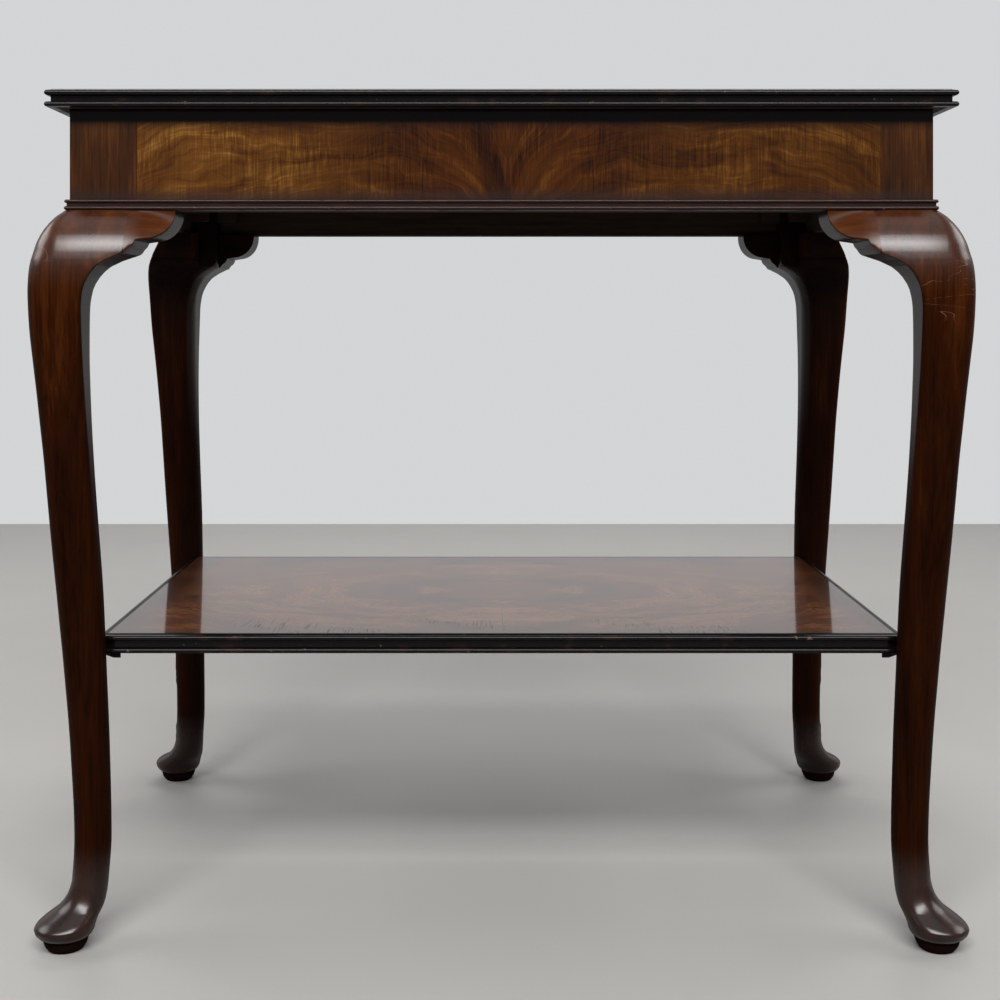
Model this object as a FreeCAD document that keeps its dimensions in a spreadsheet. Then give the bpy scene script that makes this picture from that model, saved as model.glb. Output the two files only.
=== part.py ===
import FreeCAD, Part
import Sketcher
import math
import os

# A two-tier side table on cabriole legs. Millimetres, +Z up, the origin on the floor under
# the middle of the top. The front faces -Y.

doc = FreeCAD.newDocument("side_table")
sheet = doc.addObject("Spreadsheet::Sheet", "sizes")

drivingSizes = {
    # whole table
    "tableHeight": 710,
    "topOverhang": 16.3,
    "topThickness": 14.6,
    "friezeWidth": 717.4,
    "friezeDepth": 413.4,
    "friezeHeight": 84.4,
    "veneerThickness": 1,
    "fitClearance": 0.1,
    "cutOverrun": 5,
    # double bead round the top and the shelf
    "edgeWidth": 7,
    "edgeProjection": 4.2,
    "edgeBeadRadius": 2.3,
    "edgeTopDrop": 1,
    # double bead under the frieze
    "friezeBeadHeight": 8.9,
    "friezeBeadProjection": 3.8,
    "friezeUpperBeadRadius": 1.5,
    "friezeLowerBeadRadius": 1.75,
    # frieze frame
    "railThickness": 22,
    "tenonLength": 25,
    "tenonThickness": 8,
    "tenonShoulder": 12,
    "frontEndWidthLeft": 56,
    "frontEndWidthRight": 43,
    "sideEndWidth": 50,
    "frontJointOffset": 5.4,
    # cabriole leg
    "postSize": 50,
    "kneeThickness": 46.7,
    # ear brackets
    "earLength": 38,
    "earDepth": 31,
    "earLobeWidth": 19,
    "earLobeDrop": 24.5,
    "earLobeRadius": 23,
    "earLedgeWidth": 10.5,
    "earLedgeDrop": 1.5,
    "earStepWidth": 5,
    "earStepDrop": 6.3,
    "earStepRadius": 9,
    "earToeDrop": 4.2,
    # shelf
    "shelfTopHeight": 254,
    "shelfThickness": 15.7,
    "shelfInset": 18.2,
    "cornerBlockWidth": 6,
    "cornerBlockThickness": 3.5,
    # blocks inside the frieze
    "glueBlockSize": 20,
    "glueBlockLength": 58,
    "topBlockSize": 20,
    "topBlockLength": 60,
    "topBlockSpacing": 300,
}
for row, (alias, value) in enumerate(drivingSizes.items(), 1):
    sheet.set(f"A{row}", alias)
    sheet.set(f"B{row}", str(value))
    sheet.setAlias(f"B{row}", alias)
doc.recompute()

# Heights and places that follow from the sizes, as expressions on the sheet
friezeTop = "(sizes.tableHeight - sizes.topThickness)"
legHeight = f"({friezeTop} - sizes.friezeHeight)"
topWidth = "(sizes.friezeWidth + 2 * sizes.topOverhang)"
topDepth = "(sizes.friezeDepth + 2 * sizes.topOverhang)"
shelfWidth = "(sizes.friezeWidth - 2 * sizes.shelfInset)"
shelfDepth = "(sizes.friezeDepth - 2 * sizes.shelfInset)"
shelfUnderside = "(sizes.shelfTopHeight - sizes.shelfThickness)"
beadWidth = "(sizes.friezeWidth + 2 * sizes.friezeBeadProjection)"
beadDepth = "(sizes.friezeDepth + 2 * sizes.friezeBeadProjection)"
railBack = "(sizes.veneerThickness + sizes.railThickness)"

edgeBeadFlatShare = 0.78     # of the lower bead's radius that is left under its middle

# The leg, station by station from the floor to the top of the knee, the first two being the
# disc that the pad foot stands on. Columns:
# height as a share of the leg's height; outer face beyond the frieze corner and inner face
# inside it, as shares of the knee's thickness; then the rounding of the outer, the two side
# and the inner corners, as shares of half the leg's thickness there.
legStationShares = (
    (0.0000, 0.338, 0.240, 0.97, 0.97, 0.97),
    (0.0139, 0.435, 0.336, 0.97, 0.97, 0.97),
    (0.0213, 0.518, 0.413, 0.97, 0.97, 0.97),
    (0.0311, 0.576, 0.458, 0.92, 0.97, 0.97),
    (0.0442, 0.360, 0.520, 0.90, 0.97, 0.97),
    (0.0606, 0.131, 0.578, 0.94, 0.97, 0.97),
    (0.0851, 0.034, 0.608, 0.97, 0.97, 0.97),
    (0.1391, 0.004, 0.645, 0.97, 0.97, 0.97),
    (0.2455, 0.051, 0.627, 0.97, 0.97, 0.97),
    (0.3899, 0.173, 0.577, 0.97, 0.97, 0.97),
    (0.4159, 0.202, 0.567, 0.97, 0.97, 0.97),
    (0.5074, 0.304, 0.522, 0.96, 0.88, 0.96),
    (0.5892, 0.385, 0.456, 0.96, 0.79, 0.96),
    (0.7038, 0.493, 0.390, 0.95, 0.57, 0.94),
    (0.8101, 0.604, 0.360, 0.93, 0.31, 0.89),
    (0.8920, 0.672, 0.407, 0.92, 0.13, 0.82),
    (0.9231, 0.652, 0.634, 0.85, 0.07, 0.70),
    (0.9321, 0.632, 0.824, 0.74, 0.06, 0.58),
    (0.9427, 0.600, 1.081, 0.62, 0.05, 0.46),
    (0.9640, 0.475, 1.280, 0.46, 0.04, 0.39),
    (0.9845, 0.287, 1.349, 0.42, 0.04, 0.37),
    (1.0000, 0.073, 1.370, 0.40, 0.04, 0.36),
)
earStationCount = 5          # of the topmost stations, whose outer face the ears carry on
earTaperShare = 0.26         # of the knee's thickness that the ear loses from leg to tip
earFlatShare = 0.02          # of the knee's thickness that the ear's flat stands forward

subParts = []


def valueOf(expression):
    """The number that an expression on the sheet stands for now."""
    result = sheet.evalExpression(expression)
    return getattr(result, "Value", result)


def keep(piece):
    """Count an object as one of the table's pieces."""
    subParts.append(piece)
    return piece


def seat(piece, x, y, z, turn=0):
    """Place an object at x, y, z of the front side's frame, turned by quarter turns about Z."""
    turned = ((x, y), (f"-({y})", x), (f"-({x})", f"-({y})"), (y, f"-({x})"))[turn]
    piece.Placement = FreeCAD.Placement(FreeCAD.Vector(),
                                        FreeCAD.Rotation(FreeCAD.Vector(0, 0, 1), 90 * turn))
    piece.setExpression("Placement.Base.x", turned[0])
    piece.setExpression("Placement.Base.y", turned[1])
    piece.setExpression("Placement.Base.z", z)
    return piece


def block(name, x, y, z, length, width, height, turn=0):
    """A rectangular piece with its low corner at x, y, z of the front side's frame."""
    piece = doc.addObject("Part::Box", name)
    piece.setExpression("Length", length)
    piece.setExpression("Width", width)
    piece.setExpression("Height", height)
    return seat(piece, x, y, z, turn)


def joined(kind, name, pieces):
    """A fusion or a loose group of pieces."""
    group = doc.addObject(kind, name)
    setattr(group, "Shapes" if kind == "Part::MultiFuse" else "Links", pieces)
    return group


def mirrored(source, name, normal, baseX="0", baseY="0"):
    """A mirror image in an upright plane through baseX, baseY."""
    image = doc.addObject("Part::Mirroring", name)
    image.Source = source
    image.Normal = normal
    image.setExpression("Base.x", baseX)
    image.setExpression("Base.y", baseY)
    return image


def sketchOn(body, name, role, offset="0"):
    """A sketch on one of the body's own origin planes, moved along the plane's normal."""
    plane = [f for f in body.Origin.OriginFeatures if f.Role == role][0]
    sketch = body.newObject("Sketcher::SketchObject", name)
    sketch.AttachmentSupport = [(plane, "")]
    sketch.MapMode = "FlatFace"
    sketch.setExpression("AttachmentOffset.Base.z", offset)
    return sketch


def drawOutline(sketch, corners, arcs=()):
    """Draw one closed outline with every corner pinned to expressions.

    Corners run anticlockwise. arcs maps the edge that leaves a corner to a radius: an edge
    bulges outwards, or inwards where the radius has a minus sign before it.
    """
    arcs = dict(arcs)
    points = [(valueOf(x), valueOf(y)) for x, y in corners]
    ends = []
    for k, (ax, ay) in enumerate(points):
        bx, by = points[(k + 1) % len(points)]
        start = FreeCAD.Vector(ax, ay, 0)
        finish = FreeCAD.Vector(bx, by, 0)
        if k not in arcs:
            geo = sketch.addGeometry(Part.LineSegment(start, finish), False)
            ends.append((geo, 1, 2))
            continue
        inward = arcs[k].startswith("-")
        radiusText = arcs[k].lstrip("-")
        radius = valueOf(radiusText)
        chord = finish - start
        half = chord.Length / 2
        lift = math.sqrt(max(radius * radius - half * half, 0))
        left = FreeCAD.Vector(-chord.y, chord.x, 0).normalize()
        centre = (start + finish) * 0.5 + left * (-lift if inward else lift)
        first, last = (finish, start) if inward else (start, finish)
        arc = Part.ArcOfCircle(Part.Circle(centre, FreeCAD.Vector(0, 0, 1), radius),
                               math.atan2(first.y - centre.y, first.x - centre.x),
                               math.atan2(last.y - centre.y, last.x - centre.x))
        geo = sketch.addGeometry(arc, False)
        ends.append((geo, 2, 1) if inward else (geo, 1, 2))
        rule = sketch.addConstraint(Sketcher.Constraint("Radius", geo, radius))
        sketch.setExpression(f"Constraints[{rule}]", radiusText)
    for k, (geo, startEnd, finishEnd) in enumerate(ends):
        before = ends[k - 1]
        sketch.addConstraint(Sketcher.Constraint("Coincident", before[0], before[2], geo, startEnd))
        for kind, text, number in (("DistanceX", corners[k][0], points[k][0]),
                                   ("DistanceY", corners[k][1], points[k][1])):
            rule = sketch.addConstraint(Sketcher.Constraint(kind, -1, 1, geo, startEnd, number))
            sketch.setExpression(f"Constraints[{rule}]", text)
    return sketch


def drawRectangle(sketch, x0, y0, x1, y1):
    return drawOutline(sketch, [(x0, y0), (x1, y0), (x1, y1), (x0, y1)])


def pad(body, name, sketch, length, middle=False, backwards=False):
    """Add the sketch's outline as a solid."""
    feature = body.newObject("PartDesign::Pad", name)
    feature.Profile = sketch
    feature.setExpression("Length", length)
    feature.Midplane = middle
    feature.Reversed = backwards
    return feature


def pocket(body, name, sketch, depth, middle=False, backwards=False):
    """Cut the sketch's outline away."""
    feature = body.newObject("PartDesign::Pocket", name)
    feature.Profile = sketch
    feature.setExpression("Length", depth)
    feature.Midplane = middle
    feature.Reversed = backwards
    return feature


def mitredEdge(name, length, across, base, height, profile, arcs, width, turn):
    """A length of moulding along one side, mitred at both ends.

    profile gives its section as (distance in from the outermost line, height from its foot).
    """
    body = doc.addObject("PartDesign::Body", name)
    outer = f"-({across}) / 2"
    section = sketchOn(body, f"{name}_section", "YZ_Plane")
    drawOutline(section, [(f"{outer} + {inset}", f"{base} + {rise}") for inset, rise in profile], arcs)
    pad(body, f"{name}_run", section, length, middle=True)
    over = "sizes.cutOverrun"
    for hand, end in (("", "right"), ("-", "left")):
        far = f"{hand}(({length}) / 2 + {over})"
        near = f"{hand}(({length}) / 2 - {width} - {over})"
        corners = [(far, f"{outer} - {over}"), (far, f"{outer} + {width} + {over}"),
                   (near, f"{outer} + {width} + {over}")]
        mitre = sketchOn(body, f"{name}_mitre_{end}", "XY_Plane", f"{base} + {height} + {over}")
        drawOutline(mitre, corners if hand == "" else corners[::-1])
        pocket(body, f"{name}_cut_{end}", mitre, f"{height} + 2 * {over}")
    seat(body, "0", "0", "0", turn)
    return keep(body)


# Double bead on the edges of the top and the shelf: an upper and a lower bead that stand
# forward of a flat hollow, the lower one cut off square underneath.
def edgeSection(height):
    root = "sizes.edgeProjection"
    r = "sizes.edgeBeadRadius"
    low = f"{r} * {edgeBeadFlatShare}"
    upper = f"{height} - sizes.edgeTopDrop"
    corners = [
        (f"{r} * (1 - sqrt(1 - {edgeBeadFlatShare} ^ 2))", "0"),
        ("sizes.edgeWidth", "0"), ("sizes.edgeWidth", height), (root, height), (root, upper),
        (r, upper), ("0", f"{upper} - {r}"), (r, f"{upper} - 2 * {r}"), (root, f"{upper} - 2 * {r}"),
        (root, f"{low} + {r}"), (r, f"{low} + {r}"), ("0", low),
    ]
    return corners, {5: r, 6: r, 10: r, 11: r}


# Small double bead planted on the foot of the frieze, its two beads over one another's middles
def beadSection():
    height = "sizes.friezeBeadHeight"
    up = "sizes.friezeUpperBeadRadius"
    low = "sizes.friezeLowerBeadRadius"
    back = "(sizes.friezeBeadProjection + sizes.veneerThickness)"
    corners = [
        (low, "0"), (back, "0"), (back, height),
        (low, height), (f"{low} - {up}", f"{height} - {up}"), (low, f"{height} - 2 * {up}"),
        (low, f"2 * {low}"), ("0", low),
    ]
    return corners, {3: up, 4: up, 6: low, 7: low}


# The sides in the order of their quarter turns from the front, and how far the frieze runs
# along and across a side after an even or an odd number of turns
sides = ("front", "right", "back", "left")
cornerNames = (("front_left", -1, -1), ("front_right", 1, -1), ("back_left", -1, 1), ("back_right", 1, 1))
lengthwise = {0: ("sizes.friezeWidth", "sizes.friezeDepth"), 1: ("sizes.friezeDepth", "sizes.friezeWidth")}


# A board of solid core with four quartered leaves of veneer on it and moulded edges round it
def layBoard(prefix, width, depth, topHeight, thickness):
    edge = "sizes.edgeWidth"
    keep(block(f"{prefix}_core", f"-({width}) / 2 + {edge}", f"-({depth}) / 2 + {edge}",
               f"{topHeight} - {thickness}", f"{width} - 2 * {edge}", f"{depth} - 2 * {edge}",
               f"{thickness} - sizes.veneerThickness"))
    leafLength = f"(({width}) / 2 - {edge})"
    leafWidth = f"(({depth}) / 2 - {edge})"
    for name, handX, handY in cornerNames:
        keep(block(f"{prefix}_leaf_{name}", f"-{leafLength}" if handX < 0 else "0",
                   f"-{leafWidth}" if handY < 0 else "0", f"{topHeight} - sizes.veneerThickness",
                   leafLength, leafWidth, "sizes.veneerThickness"))
    section, arcs = edgeSection(thickness)
    for turn, name in enumerate(sides):
        length, across = (width, depth) if turn % 2 == 0 else (depth, width)
        mitredEdge(f"{prefix}_edge_{name}", length, across, f"{topHeight} - {thickness}",
                   thickness, section, arcs, edge, turn)


layBoard("top", topWidth, topDepth, "sizes.tableHeight", "sizes.topThickness")
layBoard("shelf", shelfWidth, shelfDepth, "sizes.shelfTopHeight", "sizes.shelfThickness")

# Blocks that hold the top to the rails: two on a long rail and one on a short one
topBlocks = []
for turn in range(4):
    across = lengthwise[turn % 2][1]
    middles = ("-sizes.topBlockSpacing / 2", "sizes.topBlockSpacing / 2") if turn % 2 == 0 else ("0",)
    for middle in middles:
        topBlocks.append(block(f"top_block_{len(topBlocks)}", f"{middle} - sizes.topBlockLength / 2",
                               f"-({across}) / 2 + {railBack}", f"{friezeTop} - sizes.topBlockSize",
                               "sizes.topBlockLength", "sizes.topBlockSize", "sizes.topBlockSize", turn))
keep(joined("Part::Compound", "top_blocks", topBlocks))

# Frieze rails, tenoned into the legs' posts
for turn, name in enumerate(sides):
    length, across = lengthwise[turn % 2]
    y = f"-({across}) / 2 + sizes.veneerThickness"
    between = f"({length} - 2 * sizes.postSize)"
    board = block(f"rail_{name}_board", f"-{between} / 2", y, legHeight, between,
                  "sizes.railThickness", "sizes.friezeHeight", turn)
    tongue = block(f"rail_{name}_tenons", f"-{between} / 2 - sizes.tenonLength",
                   f"{y} + (sizes.railThickness - sizes.tenonThickness) / 2",
                   f"{legHeight} + sizes.tenonShoulder", f"{between} + 2 * sizes.tenonLength",
                   "sizes.tenonThickness", "sizes.friezeHeight - 2 * sizes.tenonShoulder", turn)
    keep(joined("Part::MultiFuse", f"rail_{name}", [board, tongue]))


def friezeVeneer(name, start, finish, turn, shortened):
    """A sheet of veneer on a frieze side from start to finish along it."""
    across = lengthwise[turn % 2][1]
    foot = f"({legHeight} + sizes.friezeBeadHeight)"
    low = f"{start} + sizes.veneerThickness" if shortened[0] else start
    high = f"{finish} - sizes.veneerThickness" if shortened[1] else finish
    return keep(block(name, low, f"-({across}) / 2", foot, f"({high}) - ({low})",
                      "sizes.veneerThickness", f"{friezeTop} - {foot}", turn))


# The front's veneer is two leaves opened from a joint, between end strips of upright grain. The
# sides have one sheet between end strips, and the back has one sheet. The sides' sheets stop
# behind the front's and the back's.
halfWidth = "sizes.friezeWidth / 2"
halfDepth = "sizes.friezeDepth / 2"
frontLeft = f"(-{halfWidth} + sizes.frontEndWidthLeft)"
frontRight = f"({halfWidth} - sizes.frontEndWidthRight)"
sideEnd = f"({halfDepth} - sizes.sideEndWidth)"
friezeVeneer("frieze_end_front_left", f"-{halfWidth}", frontLeft, 0, (False, False))
friezeVeneer("frieze_leaf_front_left", frontLeft, "sizes.frontJointOffset", 0, (False, False))
friezeVeneer("frieze_leaf_front_right", "sizes.frontJointOffset", frontRight, 0, (False, False))
friezeVeneer("frieze_end_front_right", frontRight, halfWidth, 0, (False, False))
friezeVeneer("frieze_sheet_back", f"-{halfWidth}", halfWidth, 2, (False, False))
for name, first, last in (("right", "front", "back"), ("left", "back", "front")):
    turn = sides.index(name)
    friezeVeneer(f"frieze_end_{name}_{first}", f"-{halfDepth}", f"-{sideEnd}", turn, (True, False))
    friezeVeneer(f"frieze_sheet_{name}", f"-{sideEnd}", sideEnd, turn, (False, False))
    friezeVeneer(f"frieze_end_{name}_{last}", sideEnd, halfDepth, turn, (False, True))

beadOutline, beadArcs = beadSection()
for turn, name in enumerate(sides):
    length, across = (beadWidth, beadDepth) if turn % 2 == 0 else (beadDepth, beadWidth)
    mitredEdge(f"frieze_bead_{name}", length, across, legHeight, "sizes.friezeBeadHeight",
               beadOutline, beadArcs, "(sizes.friezeBeadProjection + sizes.veneerThickness)", turn)


# One cabriole leg. In the body's frame the frieze's corner is the Z axis, with the table
# towards +X and +Y, and the leg is alike about the diagonal.
def cabrioleLeg(name):
    body = doc.addObject("PartDesign::Body", name)
    sections = []
    for number, (rise, out, inside, outerRound, sideRound, innerRound) in enumerate(legStationShares):
        face = f"(-sizes.kneeThickness * {out})"
        inner = f"(sizes.kneeThickness * {inside})"
        half = f"(sizes.kneeThickness * {(out + inside) / 2})"
        outer, side, inmost = (f"({half} * {share})" for share in (outerRound, sideRound, innerRound))
        corners = [
            (f"{face} + {outer}", face), (f"{inner} - {side}", face),
            (inner, f"{face} + {side}"), (inner, f"{inner} - {inmost}"),
            (f"{inner} - {inmost}", inner), (f"{face} + {side}", inner),
            (face, f"{inner} - {side}"), (face, f"{face} + {outer}"),
        ]
        section = sketchOn(body, f"{name}_station_{number}", "XY_Plane", f"{legHeight} * {rise}")
        drawOutline(section, corners, {1: side, 3: inmost, 5: side, 7: outer})
        sections.append(section)
    loft = body.newObject("PartDesign::AdditiveLoft", f"{name}_curve")
    loft.Profile = sections[0]
    loft.Sections = sections[1:]
    loft.Ruled = True
    doc.recompute()

    # Square the two joint faces of the knee, where the ears are glued on
    over = "sizes.cutOverrun"
    reach = f"(2 * sizes.kneeThickness)"
    post = "sizes.postSize"
    trim = sketchOn(body, f"{name}_trim", "XY_Plane", f"{legHeight} + {over}")
    drawOutline(trim, [(post, f"-{reach}"), (reach, f"-{reach}"), (reach, reach), (f"-{reach}", reach),
                       (f"-{reach}", post), (post, post)])
    pocket(body, f"{name}_joint_faces", trim, f"{legHeight} + {over} - sizes.shelfTopHeight")

    # Square post inside the frieze, with a mortise for each rail
    veneer = "sizes.veneerThickness"
    postSketch = sketchOn(body, f"{name}_post_outline", "XY_Plane", legHeight)
    drawRectangle(postSketch, veneer, veneer, post, post)
    pad(body, f"{name}_post", postSketch, "sizes.friezeHeight")
    near = f"({veneer} + (sizes.railThickness - sizes.tenonThickness) / 2 - sizes.fitClearance)"
    far = f"({near} + sizes.tenonThickness + 2 * sizes.fitClearance)"
    foot = f"({legHeight} + sizes.tenonShoulder - sizes.fitClearance)"
    head = f"({friezeTop} - sizes.tenonShoulder + sizes.fitClearance)"
    deep = "sizes.tenonLength + sizes.fitClearance"
    frontMortise = sketchOn(body, f"{name}_mortise_x", "YZ_Plane", post)
    drawRectangle(frontMortise, near, foot, far, head)
    pocket(body, f"{name}_mortise_front", frontMortise, deep)
    sideMortise = sketchOn(body, f"{name}_mortise_y", "XZ_Plane", f"-{post}")
    drawRectangle(sideMortise, near, foot, far, head)
    pocket(body, f"{name}_mortise_side", sideMortise, deep, backwards=True)

    # Housing that the shelf's corner is let into
    gap = "sizes.fitClearance"
    housing = sketchOn(body, f"{name}_housing_outline", "XY_Plane", f"sizes.shelfTopHeight + {gap}")
    drawRectangle(housing, f"sizes.shelfInset - {gap}", f"sizes.shelfInset - {gap}", post, post)
    pocket(body, f"{name}_housing", housing, f"sizes.shelfThickness + 2 * {gap}")
    seat(body, f"-{halfWidth}", f"-{halfDepth}", "0")
    return keep(body)


# One ear, on the front of the front left leg: the knee's face run on towards the middle of
# the rail, growing flatter, and its underside sawn to a lobe, a ledge and a step.
def earBracket(name):
    body = doc.addObject("PartDesign::Body", name)
    root = "sizes.postSize"
    stations = legStationShares[-earStationCount:]
    lowest = f"{legHeight} * {stations[0][0]}"
    face = [(f"-sizes.kneeThickness * {out}", f"{legHeight} * {rise}") for rise, out, *_ in stations]
    back = [("sizes.earDepth", lowest), ("sizes.earDepth", legHeight)]
    swell = sketchOn(body, f"{name}_root", "YZ_Plane", root)
    drawOutline(swell, back + face[::-1])
    slanted = pad(body, f"{name}_swell", swell, "sizes.earLength")
    slanted.UseCustomVector = True
    slanted.AlongSketchNormal = True
    slanted.setExpression("Direction.x", "sizes.earLength")
    slanted.setExpression("Direction.y", f"sizes.kneeThickness * {earTaperShare}")
    slanted.setExpression("Direction.z", "0")
    flat = sketchOn(body, f"{name}_flat_outline", "YZ_Plane", root)
    drawRectangle(flat, f"-sizes.kneeThickness * {earFlatShare}", lowest, "sizes.earDepth", legHeight)
    pad(body, f"{name}_flat", flat, "sizes.earLength")
    doc.recompute()

    tip = f"({root} + sizes.earLength)"
    lobeFoot = f"({legHeight} - sizes.earLobeDrop)"
    ledgeFoot = f"({lobeFoot} - sizes.earLedgeDrop)"
    stepFoot = f"({ledgeFoot} - sizes.earStepDrop)"
    lobe = f"({tip} - sizes.earLobeWidth)"
    ledge = f"({lobe} - sizes.earLedgeWidth)"
    step = f"({ledge} - sizes.earStepWidth)"
    over = "sizes.cutOverrun"
    below = f"({stepFoot} - sizes.earDepth)"
    waste = [
        (f"{root} - {over}", f"{stepFoot} - sizes.earToeDrop"),
        (f"{root} - {over}", below),
        (f"{tip} + {over}", below),
        (f"{tip} + {over}", legHeight),
        (tip, legHeight),
        (lobe, lobeFoot),
        (ledge, ledgeFoot),
        (step, stepFoot),
    ]
    under = sketchOn(body, f"{name}_underside", "XZ_Plane")
    drawOutline(under, waste, {4: "-sizes.earLobeRadius", 6: "-sizes.earStepRadius"})
    pocket(body, f"{name}_sawn", under, "4 * sizes.kneeThickness", middle=True)
    seat(body, f"-{halfWidth}", f"-{halfDepth}", "0")
    return keep(body)


def fourfold(master, names):
    """Mirror a front left piece to the other three corners."""
    across = keep(mirrored(master, names[0], FreeCAD.Vector(1, 0, 0)))
    keep(mirrored(master, names[1], FreeCAD.Vector(0, 1, 0)))
    keep(mirrored(across, names[2], FreeCAD.Vector(0, 1, 0)))


leg = cabrioleLeg("leg_front_left")
fourfold(leg, ("leg_front_right", "leg_back_left", "leg_back_right"))
ear = earBracket("ear_front_left_front")
fourfold(ear, ("ear_front_right_front", "ear_back_left_back", "ear_back_right_back"))
sideEar = keep(mirrored(ear, "ear_front_left_side", FreeCAD.Vector(1, -1, 0),
                        f"-{halfWidth}", f"-{halfDepth}"))
fourfold(sideEar, ("ear_front_right_side", "ear_back_left_side", "ear_back_right_side"))

# Glue blocks in the angles between the posts and the rails, two at each corner
glueBlocks = []
for turn in range(4):
    length, across = lengthwise[turn % 2]
    for number, x in enumerate((f"-({length}) / 2 + sizes.postSize",
                                f"({length}) / 2 - sizes.postSize - sizes.glueBlockSize")):
        glueBlocks.append(block(f"glue_block_{turn}_{number}", x, f"-({across}) / 2 + {railBack}",
                                f"{legHeight} + (sizes.friezeHeight - sizes.glueBlockLength) / 2",
                                "sizes.glueBlockSize", "sizes.glueBlockSize", "sizes.glueBlockLength",
                                turn))
keep(joined("Part::Compound", "glue_blocks", glueBlocks))

# Small blocks under the shelf's corners, fitted to the legs: each starts clear of the stoutest
# leg section that is next to it, as that section reaches inwards on the diagonal
blockFoot = valueOf(f"({shelfUnderside} - sizes.cornerBlockThickness) / {legHeight}")
blockHead = valueOf(f"{shelfUnderside} / {legHeight}")
nextTo = [low for low, high in zip(legStationShares, legStationShares[1:])
          if high[0] > blockFoot and low[0] < blockHead]
nextTo.append(legStationShares[legStationShares.index(nextTo[-1]) + 1])
reachShare = max(inside - innerRound * (out + inside) / 2 * (1 - math.sqrt(0.5))
                 for _, out, inside, _, _, innerRound in nextTo)
cornerBlock = doc.addObject("PartDesign::Body", "corner_block")
blockStart = "sizes.shelfInset"
blockCut = f"(2 * (sizes.kneeThickness * {reachShare} + sizes.fitClearance) - {blockStart})"
blockEnd = f"({blockCut} + sizes.cornerBlockWidth)"
blockOutline = sketchOn(cornerBlock, "corner_block_outline", "XY_Plane", shelfUnderside)
drawOutline(blockOutline, [(blockCut, blockStart), (blockEnd, blockStart), (blockStart, blockEnd),
                           (blockStart, blockCut)])
pad(cornerBlock, "corner_block_body", blockOutline, "sizes.cornerBlockThickness", backwards=True)
seat(cornerBlock, f"-{halfWidth}", f"-{halfDepth}", "0")
acrossBlock = mirrored(cornerBlock, "corner_block_right", FreeCAD.Vector(1, 0, 0))
keep(joined("Part::Compound", "shelf_corner_blocks", [
    cornerBlock, acrossBlock, mirrored(cornerBlock, "corner_block_back", FreeCAD.Vector(0, 1, 0)),
    mirrored(acrossBlock, "corner_block_back_right", FreeCAD.Vector(0, 1, 0))]))

doc.recompute()
for thing in doc.Objects:
    if "Invalid" in thing.State or "Error" in thing.State:
        raise RuntimeError(f"{thing.Name} did not build: {thing.State}")
os.makedirs("parts", exist_ok=True)
for piece in subParts:
    shape = piece.Shape
    if shape.isNull() or not shape.isValid() or not shape.Solids:
        raise RuntimeError(f"{piece.Label} has no valid solid")
    shape.exportStep(f"parts/{piece.Label}.step")
    print(piece.Label, len(shape.Solids), round(shape.Volume))
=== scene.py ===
import bpy
import numpy as np
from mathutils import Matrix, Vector


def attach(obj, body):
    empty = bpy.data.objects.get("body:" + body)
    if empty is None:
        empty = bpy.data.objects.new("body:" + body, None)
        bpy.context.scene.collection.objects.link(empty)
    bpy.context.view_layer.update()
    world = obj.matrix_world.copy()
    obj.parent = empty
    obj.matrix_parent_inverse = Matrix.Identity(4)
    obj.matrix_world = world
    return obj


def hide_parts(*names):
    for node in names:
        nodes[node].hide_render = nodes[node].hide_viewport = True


# A two-tier walnut side table. Metres, +Z up, the front faces -Y.

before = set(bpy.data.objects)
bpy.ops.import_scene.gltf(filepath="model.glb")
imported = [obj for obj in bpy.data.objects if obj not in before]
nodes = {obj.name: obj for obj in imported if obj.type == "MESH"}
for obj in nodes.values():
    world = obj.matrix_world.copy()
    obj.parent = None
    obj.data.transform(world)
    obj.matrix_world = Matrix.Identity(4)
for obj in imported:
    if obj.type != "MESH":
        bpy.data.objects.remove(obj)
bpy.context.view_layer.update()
mm = 0.001

table = {
    "friezeWidth": 717.4 * mm,
    "friezeDepth": 413.4 * mm,
    "legHeight": 611 * mm,
    "friezeTop": 695.4 * mm,
    "topWidth": 750 * mm,
    "topDepth": 446 * mm,
    "shelfTop": 254 * mm,
    "shelfFoot": 238.3 * mm,
    "shelfInset": 18.2 * mm,     # the shelf's edge, in from the frieze's face
}


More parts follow.
